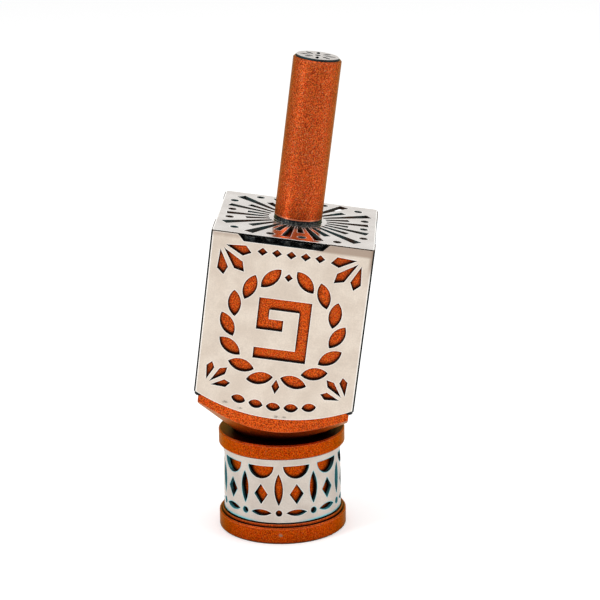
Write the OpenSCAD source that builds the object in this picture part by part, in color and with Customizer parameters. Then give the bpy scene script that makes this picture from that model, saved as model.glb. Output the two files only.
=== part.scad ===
// Metal dreidel with a round stem, leaning in its turned cup stand.
// Units are millimetres. Z is up, and the origin is the centre of the stand's underside.

/* [Block] */
// Width of the square block across its flats
block_w = 28.9; // [26:0.1:32]
// Height of the block from the point of its cone to its top face
block_h = 47.8; // [44:0.1:56]
// Slope of the conical underside above the horizontal, in degrees
cone_angle = 35.2; // [32:0.1:38]
// Radius on the block's upright edges
block_edge_r = 0.4; // [0.2:0.1:1]
// Bevel round the block's top face
top_bevel = 1.4; // [0.6:0.1:2]

/* [Sheets] */
// Thickness of the pierced sheets on the block, the stem and the stand
sheet_t = 0.65; // [0.3:0.05:0.8]
// Bond line between a sheet and what it covers
bond_gap = 0.2; // [0.05:0.01:0.2]
// Bare block left under a side panel at its corners
corner_margin = 2.3; // [1:0.1:3.5]
// Bare block left under a side panel at its middle
middle_margin = 3; // [1:0.1:4]
// Seam between the mitred upright edges of neighbouring panels
corner_seam = 0.45; // [0.1:0.05:0.6]
// Seam between the mitred edges of the top plate and the panels
top_seam = 0.25; // [0.05:0.05:0.4]
// Radius on the corners of the top plate
plate_corner_r = 0.3; // [0.1:0.1:1]

/* [Notch at the top of each panel] */
// Width of the notch along the top edge
notch_w = 17.2; // [12:0.2:20]
// Depth of the notch
notch_d = 1.3; // [0.6:0.1:1.6]
// Distance of the notch from the panel's middle, to the left
notch_shift = 1.7; // [0:0.1:3]

/* [Letters] */
// Width of a letter
letter_w = 10; // [8:0.2:11]
// Height of a letter
letter_h = 12; // [9:0.2:13]
// Width of a letter's stroke
letter_stroke = 2.2; // [1.6:0.1:2.4]

/* [Ornament on the panels] */
// Radius of the wreath round the letter
wreath_r = 10.4; // [9.6:0.1:10.8]
// Leaves in each half of the wreath
wreath_leaves = 7; // [5:1:8]
// Length of a leaf
leaf_l = 5.2; // [3.6:0.1:5.6]
// Width of a leaf
leaf_w = 2.5; // [1.2:0.1:2.6]
// Length of the longest dart in a corner fan
dart_l = 6; // [4:0.1:6.4]
// Width of a dart
dart_w = 2.1; // [1:0.1:2.2]
// Distance of a fan's darts from its corner
dart_start = 1.2; // [0.8:0.1:2]
// Metal left between a fan's middle dart and the wreath
fan_web = 0.8; // [0.5:0.1:1.5]
// Width of the rim that stays whole round a panel's ornament
panel_border = 1.5; // [1:0.1:2]

/* [Sunburst on the top plate] */
// Number of rays round the stem
rays = 28; // [16:2:32]
// Width of the rim that stays whole round the rays
plate_border = 1.7; // [1:0.1:3]
// Width of the ring that stays whole round the stem
ray_collar = 0.9; // [0.6:0.1:2]

/* [Stem] */
// Diameter of the stem
stem_d = 9.2; // [7:0.1:11]
// Height of the stem above the top plate
stem_h = 31.6; // [24:0.2:40]
// Diameter of the spigot that holds the stem in the block
spigot_d = 6; // [4:0.1:6.4]
// Length of the spigot
spigot_l = 8; // [5:0.5:12]
// Diameter of the pierced disc on the stem's end
cap_d = 8.1; // [6:0.1:8.4]
// Thickness of the disc
cap_t = 0.4; // [0.3:0.05:0.8]

/* [Point] */
// Diameter of the hard point set into the block
pin_d = 4; // [3:0.1:6]
// Length of the point inside the block
pin_l = 9; // [6:0.5:14]
// Radius of the nose that the dreidel spins on
nose_r = 0.8; // [0.4:0.1:1.2]

/* [Stand] */
// Diameter of the foot
foot_d = 25.2; // [23:0.2:30]
// Height of the foot
foot_h = 3.3; // [2:0.1:5]
// Diameter of the narrow ring between the foot and the band
shoulder_d = 24; // [23.4:0.1:24.4]
// Height of the narrow ring
shoulder_h = 0.6; // [0.3:0.1:1.5]
// Diameter over the pierced band
band_d = 23.2; // [22.4:0.2:23.4]
// Height of the waist that the band fills
band_h = 13.3; // [11:0.1:18]
// Diameter of the rim
rim_d = 24.9; // [24:0.1:28]
// Height of the rim
rim_h = 3; // [2:0.1:5]
// Diameter of the cup's mouth
mouth_d = 19; // [16:0.2:20]
// Depth of the cup
cup_depth = 6.15; // [5:0.05:8]
// Radius between the cup's wall and its floor
cup_fillet_r = 1.5; // [0.5:0.1:2]
// Repeats of the ornament round the band
band_repeats = 10; // [8:1:10]
// Seam where the ends of the band meet at the back
band_seam = 0.4; // [0.2:0.1:1]
// Plain length of the band across that seam
band_plain = 2; // [1.5:0.5:6]

/* [Rest position] */
// Lean of the dreidel in its cup, in degrees
lean_angle = 7.65; // [4:0.05:9]
// Compass direction of the lean, in degrees from +X towards +Y
lean_direction = -9.9; // [-45:0.1:45]

/* [Fits] */
// Radial clearance of the point in its bore
point_clear = 0.03; // [0.01:0.01:0.08]
// Radial clearance of the spigot in its bore
spigot_clear = 0.02; // [0.01:0.01:0.05]
// Clearance of the dreidel from the stand where the two rest on each other
seat_gap = 0.1; // [0.05:0.05:0.3]
// Clearance between the stem and the hole in the top plate
stem_hole_clear = 0.1; // [0.05:0.05:0.3]
// Space left at the blind end of each bore
bore_end = 0.3; // [0.1:0.1:1]
// Small bevel on turned edges
edge_bevel = 0.25; // [0.1:0.05:0.5]

/* [Hidden] */
$fn = 96;
copper_orange = [0.78, 0.30, 0.11];
pale_silver = [0.83, 0.80, 0.76];
tool_steel = [0.55, 0.56, 0.58];

// Length by which a cutter runs past what it cuts
overrun = 1;

// Sizes of the block and of the cover over it
plate_w = block_w + 2 * (sheet_t + bond_gap);
corner_r = block_w / sqrt(2);
rise = tan(cone_angle);
face_corner_z = corner_r * rise;
face_middle_z = block_w / 2 * rise;
plate_z = block_h + bond_gap;
plate_top_z = plate_z + sheet_t;

// Outline of a panel, whose own origin is at the middle of its height
panel_w = plate_w - corner_seam * sqrt(2);
panel_corner_z = face_corner_z + corner_margin;
panel_low_z = face_middle_z + middle_margin;
panel_top_z = plate_top_z - top_seam / sqrt(2);
panel_mid_z = (panel_top_z + panel_low_z) / 2;
panel_half_h = (panel_top_z - panel_low_z) / 2;
panel_sag = panel_corner_z - panel_low_z;
panel_arc_r = (pow(panel_w / 2, 2) + pow(panel_sag, 2)) / (2 * panel_sag);
field_x = panel_w / 2 - panel_border;
field_top = panel_half_h - notch_d - panel_border / 2;
field_corner_y = panel_corner_z - panel_mid_z + panel_border;

// Reach of the wreath's leaves, and the room that it leaves above and below
leaf_tilt = 30;
wreath_reach = norm([wreath_r + leaf_l / 2 * sin(leaf_tilt), leaf_l / 2 * cos(leaf_tilt)]);
top_room = field_top - wreath_r;
low_room = panel_half_h - panel_border - wreath_r;

// Turned parts
stem_r = stem_d / 2;
stem_top_z = plate_top_z + stem_h;
pin_r = pin_d / 2;
nose_z = nose_r / cos(cone_angle);
nose_edge_r = nose_r * sin(cone_angle);

// Heights and radii of the stand
foot_r = foot_d / 2;
rim_r = rim_d / 2;
mouth_r = mouth_d / 2;
shoulder_z = foot_h + shoulder_h;
rim_z = shoulder_z + band_h;
stand_h = rim_z + rim_h;
band_in_r = band_d / 2 - sheet_t;
core_r = band_in_r - bond_gap;
cup_z = stand_h - cup_depth;
band_pitch = (PI * band_d - band_plain) / band_repeats;
band_top = band_h / 2 - panel_border;
bead_share = 0.05;
bead_r = band_h * bead_share;

// The dreidel rests with one flank of its cone on the cup's mouth. Its nose stands on the cup's
// floor, or the opposite flank meets the mouth first, and the higher of the two decides.
low_slope = cone_angle - lean_angle;
high_slope = cone_angle + lean_angle;
floor_seat = cup_depth - seat_gap + nose_r * (cos(lean_angle) / cos(cone_angle) - 1);
flank_room = 2 * mouth_r - seat_gap * (1 / sin(low_slope) + 1 / sin(high_slope));
flank_seat = flank_room / (1 / tan(low_slope) + 1 / tan(high_slope));
seat_h = min(floor_seat, flank_seat);
point_x = mouth_r - seat_gap / sin(low_slope) - seat_h / tan(low_slope);
point_z = stand_h - seat_h;

// Puts a child drawn in the dreidel's own upright frame, whose origin is the point of the cone,
// where the dreidel leans in its cup.
module leaning() {
    rotate(lean_direction)
        translate([point_x, 0, point_z])
            rotate([0, lean_angle, 0])
                rotate(-lean_direction)
                    children();
}

// Flat shapes that the ornament is made of, each lying along +X

// Pointed leaf with its middle at the origin
module leaf(length, width) {
    r = (pow(length, 2) + pow(width, 2)) / (4 * width);
    intersection() {
        translate([0, r - width / 2])
            circle(r);
        translate([0, width / 2 - r])
            circle(r);
    }
}

// Dart with its point at the origin and its widest place near the far end
module dart(length, width) {
    wide_share = 0.72;
    polygon([
        [0, 0],
        [length * wide_share, -width / 2],
        [length, 0],
        [length * wide_share, width / 2]
    ]);
}

module lozenge(length, width) {
    polygon([[-length / 2, 0], [0, width / 2], [length / 2, 0], [0, -width / 2]]);
}

module rounded_square(width, r) {
    inner = width - 2 * r;
    union() {
        square([width, inner], center = true);
        square([inner, width], center = true);
        for (x = [-1, 1], y = [-1, 1])
            translate([x * inner / 2, y * inner / 2])
                circle(r);
    }
}

// Letters in plain block strokes, each from the origin over letter_w by letter_h

module letter_pe() {
    hook_w = letter_w * 0.5;
    hook_y = letter_h * 0.48;
    polygon([
        [0, 0],
        [letter_w, 0],
        [letter_w, letter_h],
        [0, letter_h],
        [0, hook_y],
        [hook_w, hook_y],
        [hook_w, hook_y + letter_stroke],
        [letter_stroke, hook_y + letter_stroke],
        [letter_stroke, letter_h - letter_stroke],
        [letter_w - letter_stroke, letter_h - letter_stroke],
        [letter_w - letter_stroke, letter_stroke],
        [0, letter_stroke]
    ]);
}

module letter_nun() {
    head_x = letter_w * 0.38;
    polygon([
        [0, 0],
        [letter_w, 0],
        [letter_w, letter_h],
        [head_x, letter_h],
        [head_x, letter_h - letter_stroke],
        [letter_w - letter_stroke, letter_h - letter_stroke],
        [letter_w - letter_stroke, letter_stroke],
        [0, letter_stroke]
    ]);
}

module letter_gimel() {
    head_x = letter_w * 0.3;
    right_x = letter_w * 0.85;
    stem_x = right_x - letter_stroke;
    knee_y = letter_h * 0.42;
    toe_x = letter_stroke * sqrt(2);
    polygon([
        [0, 0],
        [toe_x, 0],
        [stem_x, knee_y * (1 - toe_x / stem_x)],
        [stem_x, 0],
        [right_x, 0],
        [right_x, letter_h],
        [head_x, letter_h],
        [head_x, letter_h - letter_stroke],
        [stem_x, letter_h - letter_stroke],
        [stem_x, knee_y]
    ]);
}

module letter_he() {
    leg_h = letter_h * 0.58;
    polygon([
        [0, letter_h],
        [0, letter_h - letter_stroke],
        [letter_w - letter_stroke, letter_h - letter_stroke],
        [letter_w - letter_stroke, 0],
        [letter_w, 0],
        [letter_w, letter_h]
    ]);
    square([letter_stroke, leg_h]);
}

// Openings of a panel beside its letter

// Half of the wreath: leaves that climb the right side and lean outwards
module wreath_half() {
    step = 180 / (wreath_leaves + 0.5);
    for (i = [0:wreath_leaves - 1]) {
        angle = (i - (wreath_leaves - 1) / 2) * step;
        rotate(angle)
            translate([wreath_r, 0])
                rotate(90 - leaf_tilt)
                    leaf(leaf_l, leaf_w);
    }
}

// Three darts that spread inwards from a corner, as far as the wreath allows
module corner_fan(corner) {
    fan_spread = 33;
    side_share = 0.84;
    inward = atan2(-sign(corner[1]), -sign(corner[0]));
    reach = min(dart_l, norm(corner) - wreath_reach - fan_web - dart_start);
    translate(corner)
        for (side = [-1:1])
            rotate(inward + side * fan_spread)
                translate([dart_start, 0])
                    dart(side == 0 ? reach : reach * side_share, dart_w * reach / dart_l);
}

module ornament_half() {
    wreath_half();
    corner_fan([field_x, field_top]);
    corner_fan([field_x, field_corner_y]);
}

// Small openings in a row along the top and along the arc at the bottom
module ornament_rows() {
    row_count = 5;
    top_pitch_share = 0.2;
    low_pitch_share = 0.25;
    top_mark_shares = [0.38, 0.31];
    low_mark_shares = [0.54, 0.3];
    lozenge_w_share = 0.64;
    low_lozenge_shares = [0.14, 0.52];
    top_mark = [leaf_l * top_mark_shares[0], top_room * top_mark_shares[1]];
    low_mark = [leaf_l * low_mark_shares[0], low_room * low_mark_shares[1]];
    low_row_r = panel_arc_r - panel_border - low_mark[1] / 2;
    for (i = [0:row_count - 1]) {
        step = i - (row_count - 1) / 2;
        translate([step * top_pitch_share * field_x, field_top - top_mark[1] / 2])
            lozenge(top_mark[0], top_mark[1]);
        translate([0, panel_arc_r - panel_half_h])
            rotate(asin(step * low_pitch_share * field_x / low_row_r))
                translate([0, -low_row_r])
                    leaf(low_mark[0], low_mark[1]);
    }
    // One lozenge where the halves of the wreath meet, above and below
    translate([0, wreath_r])
        lozenge(leaf_w * lozenge_w_share, top_mark[1]);
    translate([0, -wreath_r - low_room * low_lozenge_shares[0]])
        lozenge(leaf_w * lozenge_w_share, low_room * low_lozenge_shares[1]);
}

module panel_outline() {
    notch_low_share = 0.86;
    difference() {
        intersection() {
            translate([-panel_w / 2, -panel_half_h])
                square([panel_w, 2 * panel_half_h]);
            translate([0, panel_arc_r - panel_half_h])
                circle(panel_arc_r);
        }
        translate([-notch_shift, panel_half_h])
            polygon([
                [-notch_w / 2, overrun],
                [-notch_w / 2, 0],
                [-notch_w / 2 * notch_low_share, -notch_d],
                [notch_w / 2 * notch_low_share, -notch_d],
                [notch_w / 2, 0],
                [notch_w / 2, overrun]
            ]);
    }
}

// Side panel on the front face. Its letter is the child, and its upright and top edges are mitred.
module panel() {
    difference() {
        translate([0, sheet_t - plate_w / 2, panel_mid_z])
            rotate([90, 0, 0])
                linear_extrude(sheet_t)
                    difference() {
                        panel_outline();
                        translate([-letter_w / 2, -letter_h / 2])
                            children();
                        ornament_half();
                        mirror([1, 0, 0])
                            ornament_half();
                        ornament_rows();
                    }
        for (side = [0, 1])
            mirror([side, 0, 0])
                translate([panel_w / 2, -plate_w / 2, panel_low_z - overrun])
                    rotate(135)
                        translate([-overrun, -sheet_t - overrun, 0])
                            cube([
                                2 * (sheet_t + overrun),
                                sheet_t + overrun,
                                2 * (panel_half_h + overrun)
                            ]);
        translate([-plate_w / 2, -plate_w / 2, panel_top_z])
            rotate([-45, 0, 0])
                translate([0, -overrun, 0])
                    cube([plate_w, 2 * (sheet_t + overrun), sheet_t + overrun]);
    }
}

module panel_pe() {
    color(pale_silver)
        leaning()
            panel()
                letter_pe();
}

module panel_nun() {
    color(pale_silver)
        leaning()
            rotate(-90)
                panel()
                    letter_nun();
}

module panel_gimel() {
    color(pale_silver)
        leaning()
            rotate(180)
                panel()
                    letter_gimel();
}

module panel_he() {
    color(pale_silver)
        leaning()
            rotate(90)
                panel()
                    letter_he();
}

// One ray of the sunburst along +X, widening outwards as its share of the circle does
module ray(from_r, to_r) {
    open_share = 0.58;
    half = 180 / rays * open_share;
    polygon([
        [from_r, -from_r * tan(half)],
        [to_r, -to_r * tan(half)],
        [to_r, to_r * tan(half)],
        [from_r, from_r * tan(half)]
    ]);
}

module top_plate() {
    ray_in = stem_r + stem_hole_clear + ray_collar;
    field = plate_w / 2 - plate_border;
    corner_limit_share = 1.24;
    short_share = 0.72;
    bead_share = 0.06;
    color(pale_silver)
        leaning()
            difference() {
                translate([0, 0, plate_z])
                    linear_extrude(sheet_t)
                        difference() {
                            rounded_square(plate_w - top_seam * sqrt(2), plate_corner_r);
                            circle(stem_r + stem_hole_clear);
                            // Every second ray ends early, with a bead beyond it
                            for (i = [0:rays - 1]) {
                                angle = (i + 0.5) * 360 / rays;
                                edge = field / max(abs(cos(angle)), abs(sin(angle)));
                                ray_out = min(edge, field * corner_limit_share);
                                bead_r = field * bead_share;
                                rotate(angle)
                                    if (i % 2 == 0)
                                        ray(ray_in, ray_out);
                                    else {
                                        ray(ray_in, ray_out * short_share);
                                        translate([ray_out - bead_r, 0])
                                            circle(bead_r);
                                    }
                            }
                        }
                // Mitre all round, against the panels
                for (turn = [0:90:270])
                    rotate(turn)
                        translate([plate_w / 2 - top_seam / sqrt(2), 0, plate_top_z])
                            rotate([0, 45, 0])
                                translate([0, -plate_w / 2, -2 * sheet_t - overrun])
                                    cube([sheet_t + overrun, plate_w, 2 * (sheet_t + overrun)]);
            }
}

// Block: a square bar whose underside is turned to a cone, bored for the point and the spigot
module dreidel_block() {
    color(copper_orange)
        leaning()
            difference() {
                intersection() {
                    linear_extrude(block_h)
                        rounded_square(block_w, block_edge_r);
                    rotate_extrude()
                        polygon([
                            [0, 0],
                            [corner_r + overrun, (corner_r + overrun) * rise],
                            [corner_r + overrun, block_h],
                            [0, block_h]
                        ]);
                }
                for (turn = [0:90:270])
                    rotate(turn)
                        translate([block_w / 2, 0, block_h - top_bevel])
                            rotate([0, -45, 0])
                                translate([0, -block_w, 0])
                                    cube([block_w, 2 * block_w, 2 * top_bevel]);
                translate([0, 0, -overrun])
                    cylinder(h = nose_z + pin_l + bore_end + overrun, r = pin_r + point_clear);
                translate([0, 0, block_h - spigot_l - bore_end])
                    cylinder(h = spigot_l + bore_end + overrun, r = spigot_d / 2 + spigot_clear);
            }
}

// Hard point whose flank carries on the block's cone down to a round nose
module tip_pin() {
    color(tool_steel)
        leaning()
            union() {
                translate([0, 0, nose_z])
                    sphere(nose_r);
                translate([0, 0, nose_edge_r * rise])
                    cylinder(h = (pin_r - nose_edge_r) * rise, r1 = nose_edge_r, r2 = pin_r);
                translate([0, 0, pin_r * rise])
                    cylinder(h = nose_z + pin_l - pin_r * rise, r = pin_r);
            }
}

// Stem with its turned spigot, standing on the block through the top plate's hole
module stem() {
    color(copper_orange)
        leaning()
            rotate_extrude()
                polygon([
                    [0, block_h - spigot_l],
                    [spigot_d / 2 - edge_bevel, block_h - spigot_l],
                    [spigot_d / 2, block_h - spigot_l + edge_bevel],
                    [spigot_d / 2, block_h],
                    [stem_r, block_h],
                    [stem_r, stem_top_z - edge_bevel],
                    [stem_r - edge_bevel, stem_top_z],
                    [0, stem_top_z]
                ]);
}

module stem_cap() {
    cap_petals = 8;
    petal_share = 0.58;
    width_share = 0.2;
    hub_share = 0.14;
    cap_r = cap_d / 2;
    color(pale_silver)
        leaning()
            translate([0, 0, stem_top_z])
                linear_extrude(cap_t)
                    difference() {
                        circle(cap_r);
                        circle(cap_r * hub_share);
                        for (i = [0:cap_petals - 1])
                            rotate(i * 360 / cap_petals)
                                translate([cap_r * petal_share, 0])
                                    leaf(cap_r * petal_share, cap_r * width_share);
                    }
}

// Stand: one turned spool with a cup in its top
module stand_body() {
    color(copper_orange)
        difference() {
            rotate_extrude()
                polygon([
                    [0, 0],
                    [foot_r - edge_bevel, 0],
                    [foot_r, edge_bevel],
                    [foot_r, foot_h - edge_bevel],
                    [foot_r - edge_bevel, foot_h],
                    [shoulder_d / 2, foot_h],
                    [shoulder_d / 2, shoulder_z],
                    [core_r, shoulder_z],
                    [core_r, rim_z],
                    [rim_r - edge_bevel, rim_z],
                    [rim_r, rim_z + edge_bevel],
                    [rim_r, stand_h - edge_bevel],
                    [rim_r - edge_bevel, stand_h],
                    [0, stand_h]
                ]);
            cup();
        }
}

// Space of the cup, with a fillet between its wall and its floor
module cup() {
    floor_r = mouth_r - cup_fillet_r;
    translate([0, 0, cup_z])
        union() {
            cylinder(h = cup_depth + overrun, r = floor_r);
            translate([0, 0, cup_fillet_r])
                cylinder(h = cup_depth - cup_fillet_r + overrun, r = mouth_r);
            translate([0, 0, cup_fillet_r])
                rotate_extrude()
                    translate([floor_r, 0])
                        circle(cup_fillet_r);
        }
}

// Openings of the band about the origin, with X along the band and Y up

// Half round that hangs from the top
module band_scallop() {
    scallop_share = 0.37;
    intersection() {
        translate([0, band_top])
            circle(band_pitch * scallop_share);
        translate([-band_pitch / 2, 0])
            square([band_pitch, band_top]);
    }
}

module band_lozenge() {
    lozenge_shares = [0.32, 0.4];
    translate([0, -bead_r])
        rotate(90)
            lozenge(band_h * lozenge_shares[0], band_pitch * lozenge_shares[1]);
}

// Leaf that lies along the bottom
module band_low_leaf() {
    low_leaf_share = 0.6;
    translate([0, bead_r - band_top])
        leaf(band_pitch * low_leaf_share, 2 * bead_r);
}

// Leaf and bead between one lozenge and the next
module band_link() {
    leaf_shares = [0.5, 0.24];
    translate([0, bead_r / 2])
        rotate(90)
            leaf(band_h * leaf_shares[0], band_pitch * leaf_shares[1]);
    translate([0, bead_r - band_top])
        circle(bead_r);
}

// Runs the child outwards through the band at a number of places, spread about its front
module round_band(count) {
    translate([0, 0, shoulder_z + band_h / 2])
        for (i = [0:count - 1])
            rotate((i - (count - 1) / 2) * band_pitch / (PI * band_d) * 360)
                rotate([90, 0, 0])
                    translate([0, 0, core_r / 2])
                        linear_extrude(core_r)
                            children();
}

// Pierced strip bent round the waist, plain beside the seam at its back
module stand_band() {
    height = band_h - 2 * bond_gap;
    color(pale_silver)
        difference() {
            translate([0, 0, shoulder_z + bond_gap])
                rotate(90)
                    rotate_extrude()
                        translate([band_in_r, 0])
                            square([sheet_t, height]);
            round_band(band_repeats)
                band_scallop();
            round_band(band_repeats)
                band_lozenge();
            round_band(band_repeats)
                band_low_leaf();
            round_band(band_repeats - 1)
                band_link();
            translate([-band_seam / 2, 0, shoulder_z - overrun])
                cube([band_seam, band_d, band_h + 2 * overrun]);
        }
}

dreidel_block();
tip_pin();
stem();
stem_cap();
top_plate();
panel_pe();
panel_nun();
panel_gimel();
panel_he();
stand_body();
stand_band();
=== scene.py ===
"""Looks of the dreidel on its stand: materials, dark seam lines, studio light and camera. Metres."""

import math

import bmesh
import bpy
from mathutils import Matrix, Vector, noise


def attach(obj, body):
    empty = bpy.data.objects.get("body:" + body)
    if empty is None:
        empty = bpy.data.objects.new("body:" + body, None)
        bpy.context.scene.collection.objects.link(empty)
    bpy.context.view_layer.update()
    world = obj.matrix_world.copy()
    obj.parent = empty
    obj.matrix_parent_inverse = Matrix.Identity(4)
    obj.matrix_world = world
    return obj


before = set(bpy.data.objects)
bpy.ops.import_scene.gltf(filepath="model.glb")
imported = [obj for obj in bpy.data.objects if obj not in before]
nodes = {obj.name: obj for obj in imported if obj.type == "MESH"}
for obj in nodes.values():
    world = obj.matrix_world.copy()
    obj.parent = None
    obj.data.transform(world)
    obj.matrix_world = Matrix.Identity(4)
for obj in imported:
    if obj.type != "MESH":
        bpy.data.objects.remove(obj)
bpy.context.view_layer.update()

MM = 0.001

# The dreidel's own upright frame, which leans in the cup: its point, and its three directions
LEAN = math.radians(7.65)
LEAN_DIRECTION = math.radians(-9.9)
POINT = Vector((-2.6006, 0.4539, 13.9797)) * MM
SPIN_AXIS = Vector((
    math.sin(LEAN) * math.cos(LEAN_DIRECTION),
    math.sin(LEAN) * math.sin(LEAN_DIRECTION),
    math.cos(LEAN),
))
TURN = Vector((0, 0, 1)).rotation_difference(SPIN_AXIS)
AXIS_X = TURN @ Vector((1, 0, 0))
AXIS_Y = TURN @ Vector((0, 1, 0))
AXIS_Z = TURN @ Vector((0, 0, 1))

# The block in the dreidel's upright frame, the bevel round its top, and how far its rounded
# upright edges lie from the spin axis
BLOCK_WIDTH = 28.9 * MM
BLOCK_TOP = 47.8 * MM
BEVEL = 1.4 * MM
BEVEL_IN = BLOCK_WIDTH / 2 - BEVEL
BEVEL_LOW = BLOCK_TOP - BEVEL
BLOCK_EDGE = 20.27 * MM

# The side panels: the seam between two of them, and the heights of their lower corners and tops
SEAM = 0.45 * MM
PANEL_CORNER_Z = 16.715 * MM
PANEL_TOP_Z = 48.473 * MM

# Height up to which the stem has painted black shade, just above the top plate
FOOT_TOP = 49.50 * MM

# Height of the band's lower edge, in the stand's frame
BAND_LOW = 4.1 * MM


class Tree:
    """Short names for building a node tree."""

    # Cosine of the slight turn up to which a rounded surface still counts as flat
    FLAT = 0.998

    def __init__(self, owner):
        owner.use_nodes = True
        self.node_tree = owner.node_tree
        self.node_tree.nodes.clear()

    def add(self, kind, inputs=None, **settings):
        node = self.node_tree.nodes.new(kind)
        for name, value in settings.items():
            setattr(node, name, value)
        for name, value in (inputs or {}).items():
            self.put(node.inputs[name], value)
        return node

    def put(self, socket, value):
        if isinstance(value, bpy.types.NodeSocket):
            self.node_tree.links.new(value, socket)
        else:
            socket.default_value = value

    def math(self, operation, a, b=0.0, c=0.0, clamp=False):
        node = self.add("ShaderNodeMath", operation=operation, use_clamp=clamp)
        for socket, value in zip(node.inputs, (a, b, c)):
            self.put(socket, value)
        return node.outputs[0]

    def line(self, value, slope, start):
        """start plus slope times value."""
        return self.math("MULTIPLY_ADD", value, slope, start)

    def both(self, a, b):
        """Product of two masks, or of a mask and a share."""
        return self.math("MULTIPLY", a, b)

    def vector(self, operation, a, b=(0, 0, 0)):
        node = self.add("ShaderNodeVectorMath", {0: a, 1: b}, operation=operation)
        return node.outputs["Value" if operation in ("DOT_PRODUCT", "DISTANCE") else "Vector"]

    def parts(self, vector):
        """The x, y and z of a vector."""
        return self.add("ShaderNodeSeparateXYZ", {0: vector}).outputs

    def smooth(self, value, low, high, at_low=0.0, at_high=1.0):
        """at_low up to low, at_high from high on, and a smooth step between them."""
        return self.add("ShaderNodeMapRange", {
            "Value": value, "From Min": low, "From Max": high, "To Min": at_low, "To Max": at_high,
        }, interpolation_type="SMOOTHSTEP").outputs["Result"]

    def fade(self, value, low, high, at_low=1.0):
        """at_low up to low, and 0 from high on."""
        return self.smooth(value, low, high, at_low, 0.0)

    def mix(self, factor, a, b):
        """Colour a where the factor is 0, and b where it is 1."""
        node = self.add("ShaderNodeMix", data_type="RGBA")
        sockets = [socket for socket in node.inputs if socket.enabled]
        for socket, value in zip(sockets, (factor, a, b)):
            self.put(socket, (*value, 1.0) if isinstance(value, tuple) else value)
        return [socket for socket in node.outputs if socket.enabled][0]

    def over(self, paint, colour, mask, share):
        """The paint, with a share of the colour laid over it where the mask is 1."""
        return self.mix(self.both(mask, share), paint, colour)

    def noise(self, place, scale, detail, roughness):
        """Noise with a scale in repeats to the metre."""
        return self.add("ShaderNodeTexNoise", {
            "Vector": place, "Scale": scale, "Detail": detail, "Roughness": roughness,
        }).outputs["Fac"]

    def place(self):
        return self.add("ShaderNodeTexCoord").outputs["Object"]

    def upright(self, stretch=(1, 1, 1)):
        """Place in the dreidel's own upright frame."""
        from_point = self.vector("SUBTRACT", self.place(), tuple(POINT))
        x, y, z = (self.vector("DOT_PRODUCT", from_point, tuple(axis * by))
                   for axis, by in zip((AXIS_X, AXIS_Y, AXIS_Z), stretch))
        return self.add("ShaderNodeCombineXYZ", {"X": x, "Y": y, "Z": z}).outputs[0]

    def open_sky(self, reach):
        """1 where nothing stands within reach of the surface, towards 0 in narrow gaps."""
        return self.add("ShaderNodeAmbientOcclusion", {"Distance": reach}, samples=12).outputs["AO"]

    def arrises(self, radius, samples, turned):
        """0 on the faces, towards 1 along the sharp edges, where rounding them by the radius would
        turn the surface by the angle whose cosine is turned."""
        rounded = self.add("ShaderNodeBevel", {"Radius": radius}, samples=samples).outputs[0]
        flat = self.add("ShaderNodeNewGeometry").outputs["Normal"]
        return self.fade(self.vector("DOT_PRODUCT", rounded, flat), turned, self.FLAT)

    def spot(self, place, centre, radius, grain, ragged, core, share):
        """share within the core of a small round spot, 0 outside its rim, which follows the grain."""
        uneven = self.math("SUBTRACT", grain, 0.5)
        away = self.line(uneven, radius * ragged, self.vector("DISTANCE", place, centre))
        return self.fade(away, radius * core, radius, share)

    def surface(self, inputs, height, strength, depth):
        """The material's shader, with a bump of this height pattern, strength and depth."""
        bump = self.add("ShaderNodeBump", {"Strength": strength, "Distance": depth, "Height": height})
        shader = {**inputs, "Normal": bump.outputs["Normal"]}
        self.finish(self.add("ShaderNodeBsdfPrincipled", shader))

    def finish(self, shader):
        self.add("ShaderNodeOutputMaterial", {"Surface": shader.outputs[0]})


def scaled(colour, by):
    return tuple(part * by for part in colour)


def tinted(colour, by):
    return tuple(part * share for part, share in zip(colour, by))


# Anodised aluminium: its darkest and its brightest grains in two hues, as shares of its colour
RUDDY = ((0.46, 0.26, 0.2), (1.55, 1.20, 1.2))
AMBER = ((0.38, 0.44, 0.3), (1.46, 2.10, 2.2))
# Half the stretch of noise in which a grain goes from dark to bright, the share of the broad clouds
# in the tone, and an offset that keeps the hues apart from the grains
GRAIN_SPREAD = 0.14
CLOUD_SHARE = 0.30
HUE_OFFSET = (0.03, 0.05, 0.07)
# Painted highlights on its bright grains and arrises, its rubbed places, and the tint of its reflection
# at a low angle
SPARK = (0.95, 0.45, 0.22)
ANODIC_ARRIS_HIGHLIGHT = (0.85, 0.30, 0.16)
RUBBED = (0.22, 0.19, 0.13)
OLIVE = (0.62, 0.64, 0.43)
# Painted shade in its crevices, two tones of painted black shade, and its colour's share in deep
# painted shade
CREVICE_SHADE = (0.005, 0.006, 0.007)
NAVY = (0.010, 0.014, 0.018)
SLATE = (0.085, 0.088, 0.082)
SHADE = 0.16
# The stem's lower part: how much painted light brightens its colour, over what length, and the fine
# painted highlight above the painted black shade
FOOT_PAINTED_LIGHT = (1.20, 1.12, 1.12)
FOOT_PAINTED_LIGHT_LENGTH = 16 * MM
FOOT_HIGHLIGHT = (0.90, 0.33, 0.19)


def blasted(tree, place, colour, grain, contrast):
    """Fine grains in two hues, and broad soft clouds in tone."""
    hue = tree.noise(tree.vector("ADD", place, HUE_OFFSET), scale=4000, detail=1.5, roughness=0.5)
    clouds = tree.noise(place, scale=140, detail=3.0, roughness=0.55)
    spread = GRAIN_SPREAD / contrast
    fine = tree.smooth(grain, low=0.5 - spread, high=0.5 + spread)
    tone = tree.line(clouds, slope=CLOUD_SHARE, start=fine)
    tone = tree.math("SUBTRACT", tone, CLOUD_SHARE / 2, clamp=True)
    ruddy, amber = (tree.mix(tone, tinted(colour, dark), tinted(colour, bright))
                    for dark, bright in (RUDDY, AMBER))
    return tree.mix(tree.smooth(hue, low=0.38, high=0.62), ruddy, amber)


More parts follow.
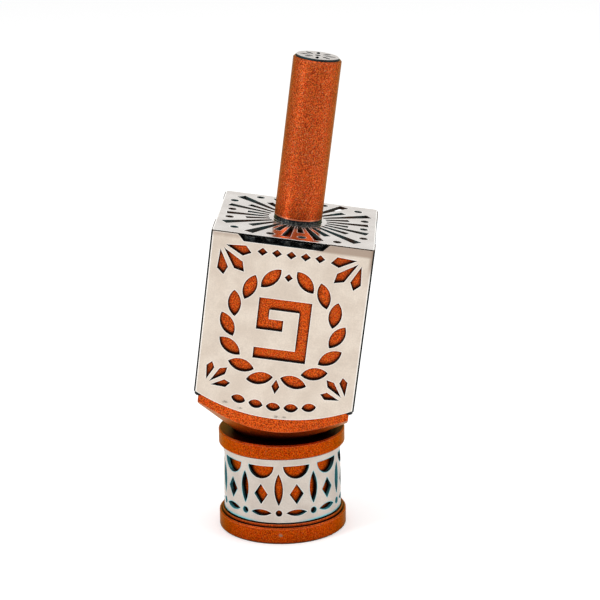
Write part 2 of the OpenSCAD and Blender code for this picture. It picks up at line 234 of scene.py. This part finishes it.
def bright_grains(tree, place):
    """1 on the few grains that get a painted glint."""
    cells = tree.add("ShaderNodeTexVoronoi", {"Vector": place, "Scale": 5600.0})
    chance = tree.add("ShaderNodeSeparateColor", {0: cells.outputs["Color"]}).outputs[0]
    return tree.smooth(chance, low=0.84, high=0.98)


# Mottled black for the painted deep shade on the block's bevel and at the stem's foot
def mottled_black(tree, place):
    patches = tree.noise(place, scale=2300, detail=2.0, roughness=0.6)
    return tree.mix(tree.smooth(patches, low=0.44, high=0.66), NAVY, SLATE)


def stem_foot(tree, place, paint):
    """The stem's paint, with painted light brightening it towards its foot, and painted black shade
    under a fine painted highlight at the foot itself.
    """
    height = tree.parts(tree.upright())[2]
    low = tree.fade(height, FOOT_TOP, FOOT_TOP + FOOT_PAINTED_LIGHT_LENGTH)
    paint = tree.mix(low, paint, tree.vector("MULTIPLY", paint, FOOT_PAINTED_LIGHT))
    foot = tree.fade(height, FOOT_TOP - 0.06 * MM, FOOT_TOP)
    line = tree.fade(height, FOOT_TOP + 0.16 * MM, FOOT_TOP + 0.26 * MM)
    paint = tree.over(paint, FOOT_HIGHLIGHT, tree.math("SUBTRACT", line, foot), share=0.55)
    return tree.mix(foot, paint, mottled_black(tree, place))


def block_bevel(tree, place, paint):
    """The block's paint, with painted black shade on the bevel round its top."""
    x, y, z = tree.parts(tree.upright())
    aside = tree.math("MAXIMUM", tree.math("ABSOLUTE", x), tree.math("ABSOLUTE", y))
    blur = 0.1 * MM
    bevel = tree.both(tree.smooth(aside, BEVEL_IN, BEVEL_IN + blur),
                      tree.smooth(z, BEVEL_LOW - blur, BEVEL_LOW))
    return tree.mix(bevel, paint, mottled_black(tree, place))


def anodised(name, colour, sparkle, coat=0.0, contrast=1.0, spots=(), bevelled=False, footed=False):
    """Blasted aluminium under a clear orange anodic layer, with painted shade in the crevices under the
    sheets.

    sparkle is how much the painted glints on the bright grains show, coat the share of clear coat,
    contrast how far the grains part in tone, and spots are small rubbed places: a centre and a radius.
    A bevelled one has painted black shade on its top bevel, a footed one painted light towards its foot
    and painted black shade at its foot."""
    material = bpy.data.materials.new(name)
    tree = Tree(material)
    place = tree.place()
    grain = tree.noise(place, scale=5000, detail=2.0, roughness=0.6)
    bright = bright_grains(tree, place)
    paint = blasted(tree, place, colour, grain, contrast)
    # Painted glint on the few bright grains
    paint = tree.over(paint, SPARK, bright, sparkle)
    # Painted highlight along the sharp edges
    arris = tree.arrises(radius=0.20 * MM, samples=6, turned=0.88)
    paint = tree.over(paint, ANODIC_ARRIS_HIGHLIGHT, arris, share=0.45)
    for centre, radius in spots:
        rubbed = tree.spot(place, centre, radius, grain, ragged=1.8, core=0.3, share=0.7)
        paint = tree.mix(rubbed, paint, RUBBED)
    # Painted shade: darker in the narrow crevices under the sheets
    crevice = tree.smooth(tree.open_sky(reach=0.6 * MM), low=0.60, high=0.97)
    paint = tree.mix(crevice, CREVICE_SHADE, paint)
    if footed:
        paint = stem_foot(tree, place, paint)
    else:
        shade = tree.smooth(tree.open_sky(reach=7 * MM), low=0.10, high=0.75)
        paint = tree.mix(shade, scaled(colour, SHADE), paint)
    if bevelled:
        paint = block_bevel(tree, place, paint)
    tree.surface({
        "Base Color": paint, "Metallic": 1.0, "Roughness": tree.line(grain, slope=0.20, start=0.27),
        "Specular Tint": (*OLIVE, 1.0), "Coat Weight": coat, "Coat Roughness": 0.3,
    }, height=tree.line(bright, slope=0.4, start=grain), strength=0.35, depth=0.07 * MM)
    return material


# Sheet metal: the painted highlight on its arrises, its walls where it was cut, and the walls of its
# mitred top edges, which face both up and outwards by these cosines
ARRIS = (0.97, 0.96, 0.93)
EDGE = (0.008, 0.011, 0.013)
BROWN = (0.060, 0.036, 0.022)
MITRE = (0.30, 0.23, 0.17)
MITRE_SLOPE = (0.50, 0.65)
# Blue-green tarnish on its walls and on those at the sides of the band, the blue-green of the painted
# highlights on the band's arrises there, and how bright these painted highlights are
TEAL = (0.030, 0.120, 0.135)
BRIGHT_TEAL = (0.07, 0.38, 0.43)
FRINGE = (0.13, 0.50, 0.56)
BESIDE_HIGHLIGHT = 0.95
# Marks on its faces, and the tones of its faces as shares of its colour, the last of them its painted
# dark reflections
SCUFFED = (0.40, 0.33, 0.28)
PITTED = (0.10, 0.09, 0.08)
STAINED = (0.91, 0.885, 0.87)
CLEAN = 1.06
BRUSHED = 0.8
GRAINY = 0.70
DARK_REFLECTION = (0.50, 0.425, 0.385)
# How much finer the brushing and the pits are in height than across
BRUSH_STRETCH = (1, 1, 9)
PIT_STRETCH = (1, 1, 2.2)


def sheet_face(tree, place, stretched, face, grain, brush):
    """The sheet's own colour under faint stains, brushing, scuffs and grain."""
    stains = tree.noise(place, scale=210, detail=4.0, roughness=0.55)
    scuffs = tree.noise(stretched, scale=330, detail=5.0, roughness=0.7)
    clean = tree.smooth(stains, low=0.35, high=0.68)
    paint = tree.mix(clean, tinted(face, STAINED), scaled(face, CLEAN))
    paint = tree.over(paint, scaled(face, BRUSHED), tree.smooth(brush, low=0.35, high=0.65), share=0.14)
    paint = tree.over(paint, SCUFFED, tree.smooth(scuffs, low=0.66, high=0.74), share=0.22)
    return tree.over(paint, scaled(face, GRAINY), tree.smooth(grain, low=0.30, high=0.70), share=0.30)


def band_fringe(tree, place, out, arris_highlight):
    """What the bent band shows towards its sides: the colour and strength of the painted highlights on
    its arrises, the tarnish of its walls, and a mask for the blue-green hem along its lower edge."""
    aside = tree.math("ABSOLUTE", tree.parts(out)[0])
    beside = tree.smooth(aside, low=0.10, high=0.75)
    patches = tree.noise(place, scale=210, detail=2.0, roughness=0.5)
    patchy = tree.smooth(patches, low=0.30, high=0.50, at_low=0.35)
    lip = tree.mix(tree.both(beside, patchy), ARRIS, FRINGE)
    shine = tree.line(beside, slope=BESIDE_HIGHLIGHT - arris_highlight, start=arris_highlight)
    tarnish = tree.mix(beside, TEAL, BRIGHT_TEAL)
    height = tree.parts(place)[2]
    low = tree.fade(height, BAND_LOW + 0.05 * MM, BAND_LOW + 0.55 * MM, at_low=0.9)
    hem = tree.both(tree.both(low, tree.smooth(aside, low=0.25, high=0.65)), patchy)
    return lip, shine, tarnish, hem


def sheet_metal(name, face, facing, gloss=0.32, arris_highlight=0.6, teal=0.25, wall=EDGE,
                steep=(0.80, 0.95), spots=(), dark_reflections=()):
    """Satin sheet with faint brushing on its faces, painted highlights along its arrises and dark walls
    where it was cut.

    face is its colour, and facing the direction of its face, or "round" for the bent band. gloss is the
    roughness of the face, polish how bright the painted highlights on the arrises are, teal how much of
    the walls has a blue-green tarnish, and steep where a slope counts as a wall. spots are small dark
    pits, a centre and a radius, and dim are zones of painted dark reflection: a range across, a range
    in height, a share."""
    material = bpy.data.materials.new(name)
    tree = Tree(material)
    place = tree.place()
    normal = tree.add("ShaderNodeTexCoord").outputs["Normal"]
    if facing == "round":
        out = tree.vector("NORMALIZE", tree.vector("MULTIPLY", place, (1, 1, 0)))
        stretched = tree.vector("MULTIPLY", place, BRUSH_STRETCH)
        lip, shine, green, hem = band_fringe(tree, place, out, arris_highlight)
    else:
        out = tuple(facing)
        stretched = tree.upright(BRUSH_STRETCH)
        lip, shine, green, hem = ARRIS, arris_highlight, TEAL, None
    along = tree.math("ABSOLUTE", tree.vector("DOT_PRODUCT", normal, out))
    edge = tree.fade(along, *steep)
    arris = tree.arrises(radius=0.36 * MM, samples=8, turned=0.86)
    grain = tree.noise(place, scale=3600, detail=2.0, roughness=0.6)
    brush = tree.noise(stretched, scale=620, detail=3.0, roughness=0.6)

    paint = sheet_face(tree, place, stretched, face, grain, brush)
    for centre, radius in spots:
        flattened = tree.upright(PIT_STRETCH)
        pit = tree.spot(flattened, centre, radius, grain, ragged=3.0, core=0.2, share=0.6)
        paint = tree.mix(pit, paint, PITTED)
    # Painted highlight along the arrises
    paint = tree.over(paint, lip, arris, shine)
    if hem:
        paint = tree.mix(hem, paint, FRINGE)
    # Painted dark reflections in zones near the panel's upper edge
    for across, heights, share in dark_reflections:
        x, _, z = tree.parts(tree.upright())
        zone = tree.both(tree.smooth(x, *across), tree.smooth(z, *heights))
        paint = tree.over(paint, tinted(face, DARK_REFLECTION), zone, share)
    patches = tree.noise(place, scale=160, detail=2.0, roughness=0.5)
    tarnish = tree.both(tree.smooth(patches, low=0.42, high=0.62), teal)
    up = tree.vector("DOT_PRODUCT", normal, tuple(AXIS_Z))
    mitre = tree.both(tree.smooth(along, *MITRE_SLOPE), tree.smooth(up, *MITRE_SLOPE))
    cut = tree.mix(mitre, tree.mix(tarnish, wall, green), MITRE)

    rough = tree.line(edge, slope=0.25, start=tree.line(grain, slope=0.10, start=gloss))
    tree.surface({
        "Base Color": tree.mix(edge, paint, cut),
        "Metallic": tree.line(edge, slope=-0.5, start=1.0),
        "Roughness": tree.line(arris, slope=0.45 - gloss * 0.6, start=rough),
    }, height=tree.line(brush, slope=0.5, start=grain), strength=0.12, depth=0.05 * MM)
    return material


# Darkest and brightest tone of the ground point's rings, and of the dark strips in the seams
STEEL = ((0.42, 0.43, 0.45), (0.62, 0.63, 0.66))
SEAM_TONES = ((0.004, 0.005, 0.006), (0.020, 0.019, 0.016))
RING_STRETCH = (0.2, 0.2, 14)


def ground_steel(name):
    """Turned and ground point, with fine rings round it."""
    material = bpy.data.materials.new(name)
    tree = Tree(material)
    rings = tree.noise(tree.upright(RING_STRETCH), scale=900, detail=2.0, roughness=0.5)
    tree.surface({"Base Color": tree.mix(rings, *STEEL), "Metallic": 1.0, "Roughness": 0.28},
                 height=rings, strength=0.2, depth=0.03 * MM)
    return material


def dark_seam(name):
    """Dark matte material of the strips in the seams between the sheets."""
    material = bpy.data.materials.new(name)
    tree = Tree(material)
    grain = tree.noise(tree.place(), scale=2600, detail=3.0, roughness=0.6)
    tree.surface({
        "Base Color": tree.mix(grain, *SEAM_TONES), "Roughness": 0.75, "Specular IOR Level": 0.2,
    }, height=grain, strength=0.4, depth=0.06 * MM)
    return material


def dress(node, material):
    for slot in nodes[node].material_slots:
        slot.material = material


# Colours of the anodised pieces
BLOCK_ORANGE = (0.465, 0.061, 0.0060)
STEM_ORANGE = (0.358, 0.052, 0.0075)
STAND_ORANGE = (0.372, 0.045, 0.0016)

# Colours of the sheets: the side panels, those on top, and the band
WARM = (0.643, 0.561, 0.477)
COOL = (0.708, 0.664, 0.618)
BAND = (0.540, 0.485, 0.431)

# Rubbed place on the front of the stand's foot
RUB = [((0.31 * MM, -12.59 * MM, 1.9 * MM), 0.5 * MM)]

# Pits near the front panel's lower edge: across, height and radius in millimetres, and where the
# panel's face is
FRONT_FACE = -15.3 * MM
LOW_PITS = [
    ((x * MM, FRONT_FACE, z * PIT_STRETCH[2] * MM), radius * MM)
    for x, z, radius in ((-9.1, 15.4, 0.7), (-6.3, 14.5, 0.6), (0.9, 13.65, 0.7), (2.3, 13.75, 0.5))
]

# Painted dark reflections at the front panel's upper edge: right of the notch, at the right corner, at
# the left. Each has a range across, a range in height and a share
UPPER_DARK_REFLECTIONS = [
    ((3.5 * MM, 5.2 * MM), (46.7 * MM, 47.3 * MM), 0.85),
    ((14.2 * MM, 15.0 * MM), (42.5 * MM, 46.0 * MM), 1.0),
    ((-9.2 * MM, -10.4 * MM), (47.3 * MM, 48.1 * MM), 0.5),
]

dress("dreidel_block", anodised("orange_block", BLOCK_ORANGE, sparkle=0.09, coat=0.04, contrast=1.2,
                                bevelled=True))
dress("stem", anodised("orange_stem", STEM_ORANGE, sparkle=0.16, coat=0.08, contrast=1.1,
                       footed=True))
dress("stand_body", anodised("orange_stand", STAND_ORANGE, sparkle=0.05, spots=RUB))
dress("tip_pin", ground_steel("steel_point"))
dress("stem_cap", sheet_metal("pierced_disc", scaled(COOL, 0.8), AXIS_Z))
dress("top_plate", sheet_metal("pierced_top", COOL, AXIS_Z, gloss=0.13, arris_highlight=0.9, teal=0.6,
                               wall=BROWN, steep=(0.35, 0.6)))
dress("panel_pe", sheet_metal("pierced_panel_front", WARM, AXIS_Y, spots=LOW_PITS, dark_reflections=UPPER_DARK_REFLECTIONS))
dress("panel_gimel", sheet_metal("pierced_panel_back", WARM, AXIS_Y))
panels_x = sheet_metal("pierced_panels_side", WARM, AXIS_X)
dress("panel_nun", panels_x)
dress("panel_he", panels_x)
dress("stand_band", sheet_metal("pierced_band", BAND, "round", arris_highlight=0.5, teal=0.9))
seam_material = dark_seam("dark_seam")

# Dark strip in a corner seam: its inner side, half its width, its top, its number of sections, how far
# its outer edges are softened, and the flat share of its outer face
STRIP_IN = BLOCK_EDGE + 0.005 * MM
STRIP_HALF = SEAM / 2 - 0.03 * MM
STRIP_TOP = PANEL_TOP_Z - 0.5 * MM
STRIP_SECTIONS = 44
STRIP_SOFT = 0.12 * MM
STRIP_FLAT = 0.45
# Its outer face's distance from the spin axis and how far that wavers, in millimetres, how quickly
# it wavers along the seam, and where the noise of each corner lies
STRIP_FACE = 21.30
STRIP_WAVER = 0.08
WAVERS_PER_MM = 0.9
NOISE_X, NOISE_Y = 7.0, 5.0
# The drop at its lower end, in millimetres: height above the panels' lower corners, half width
# and outer face of each section
DROP = [
    (-1.08, 0.12, 20.46), (-0.94, 0.31, 20.86), (-0.74, 0.42, 21.08),
    (-0.50, 0.42, 21.14), (-0.30, 0.31, 21.14), (-0.14, 0.19, 21.20),
]


def seam_sections(right, back):
    """Height, half width and outer face of each section, in a corner that is 1 or -1 to the right
    and to the back."""
    sections = [(PANEL_CORNER_Z + z * MM, half * MM, face * MM) for z, half, face in DROP]
    for i in range(STRIP_SECTIONS):
        z = PANEL_CORNER_Z + (STRIP_TOP - PANEL_CORNER_Z) * i / (STRIP_SECTIONS - 1)
        waver = noise.noise(Vector((right * NOISE_X, back * NOISE_Y, z / MM * WAVERS_PER_MM)))
        sections.append((z, STRIP_HALF, (STRIP_FACE + STRIP_WAVER * waver) * MM))
    return sections


def seam_line(name, right, back):
    """Dark strip in one corner seam of the cover, with a drop at its lower end on the block's edge."""
    out = Vector((right, back, 0)).normalized()
    side = Vector((-back, right, 0)).normalized()
    shape = bmesh.new()
    rings = []
    for z, half, face in seam_sections(right, back):
        soft = min(STRIP_SOFT, (face - STRIP_IN) / 2)
        outline = [
            (STRIP_IN, -half), (face - soft, -half), (face, -half * STRIP_FLAT),
            (face, half * STRIP_FLAT), (face - soft, half), (STRIP_IN, half),
        ]
        places = (out * far + side * aside + Vector((0, 0, z)) for far, aside in outline)
        rings.append([shape.verts.new(POINT + TURN @ place) for place in places])
    for lower, upper in zip(rings, rings[1:]):
        for i in range(len(lower)):
            j = (i + 1) % len(lower)
            shape.faces.new((lower[i], lower[j], upper[j], upper[i]))
    shape.faces.new(rings[0][::-1])
    shape.faces.new(rings[-1])
    bmesh.ops.recalc_face_normals(shape, faces=shape.faces)
    mesh = bpy.data.meshes.new(name)
    shape.to_mesh(mesh)
    shape.free()
    mesh.materials.append(seam_material)
    piece = bpy.data.objects.new(name, mesh)
    bpy.context.scene.collection.objects.link(piece)
    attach(piece, "dreidel")


seam_line("seam_front_left", -1, -1)
seam_line("seam_front_right", 1, -1)
seam_line("seam_back_right", 1, 1)
seam_line("seam_back_left", -1, 1)

# Camera, from the fit to the photograph
FOCAL_PIXELS = 2101.0
FRAME_PIXELS = 600.0
SENSOR_MM = 36.0
CAMERA_DISTANCE = 408.66 * MM
CAMERA_TARGET = Vector((3.948, 0.237, 45.831)) * MM
AZIMUTH = math.radians(3.2)
ELEVATION = math.radians(15.45)
ROLL = math.radians(-0.72)
away = Vector((
    math.sin(AZIMUTH) * math.cos(ELEVATION),
    -math.cos(AZIMUTH) * math.cos(ELEVATION),
    math.sin(ELEVATION),
))
lens = bpy.data.cameras.new("camera")
lens.sensor_width = SENSOR_MM
lens.lens = FOCAL_PIXELS / FRAME_PIXELS * SENSOR_MM
lens.clip_start = 10 * MM
camera = bpy.data.objects.new("camera", lens)
camera.location = CAMERA_TARGET + away * CAMERA_DISTANCE
level = (-away).to_track_quat("-Z", "Y").to_matrix()
camera.rotation_euler = (level @ Matrix.Rotation(ROLL, 3, "Z")).to_euler()
bpy.context.scene.collection.objects.link(camera)
bpy.context.scene.camera = camera


def seen_white(tree):
    """Factor that is 1 for camera, glossy and transmission rays."""
    path = tree.add("ShaderNodeLightPath").outputs
    seen = tree.math("MAXIMUM", path["Is Camera Ray"], path["Is Glossy Ray"])
    return tree.math("MAXIMUM", seen, path["Is Transmission Ray"])


# World: white where it is seen, plain soft light elsewhere
SOFT_LIGHT = 0.72
world = bpy.data.worlds.new("studio")
bpy.context.scene.world = world
sky = Tree(world)
strength = sky.line(seen_white(sky), slope=1.0 - SOFT_LIGHT, start=SOFT_LIGHT)
background = sky.add("ShaderNodeBackground", {"Color": (1, 1, 1, 1), "Strength": strength})
sky.add("ShaderNodeOutputWorld", {"Surface": background.outputs[0]})

# Floor: pale, and lifted to white where it is seen
FLOOR_HALF = 3.0
FLOOR_PAINT = (0.86, 0.86, 0.86, 1)
FLOOR_GLOW = 0.30
mesh = bpy.data.meshes.new("floor")
corners = [(x * FLOOR_HALF, y * FLOOR_HALF, 0) for x, y in ((-1, -1), (1, -1), (1, 1), (-1, 1))]
mesh.from_pydata(corners, [], [(0, 1, 2, 3)])
floor = bpy.data.objects.new("floor", mesh)
bpy.context.scene.collection.objects.link(floor)
floor_paint = bpy.data.materials.new("floor")
ground = Tree(floor_paint)
diffuse = ground.add("ShaderNodeBsdfDiffuse", {"Color": FLOOR_PAINT})
glow = ground.add("ShaderNodeEmission", {
    "Color": (1, 1, 1, 1), "Strength": ground.both(seen_white(ground), FLOOR_GLOW),
})
ground.finish(ground.add("ShaderNodeAddShader", {0: diffuse.outputs[0], 1: glow.outputs[0]}))
mesh.materials.append(floor_paint)


def softbox(name, place, size, power):
    """Rectangular lamp that faces the object. Its power is in watts."""
    lamp = bpy.data.lights.new(name, "AREA")
    lamp.shape = "RECTANGLE"
    lamp.size, lamp.size_y = size
    lamp.energy = power
    box = bpy.data.objects.new(name, lamp)
    box.location = place
    box.rotation_euler = (CAMERA_TARGET - Vector(place)).to_track_quat("-Z", "Y").to_euler()
    bpy.context.scene.collection.objects.link(box)


softbox("key", place=(-0.45, -0.30, 0.34), size=(0.16, 0.50), power=1.6)
softbox("fill", place=(0.55, -0.20, 0.28), size=(0.35, 0.50), power=1.25)
softbox("top", place=(0.05, 0.10, 0.70), size=(0.50, 0.50), power=0.9)

bpy.context.scene.view_settings.view_transform = "Standard"
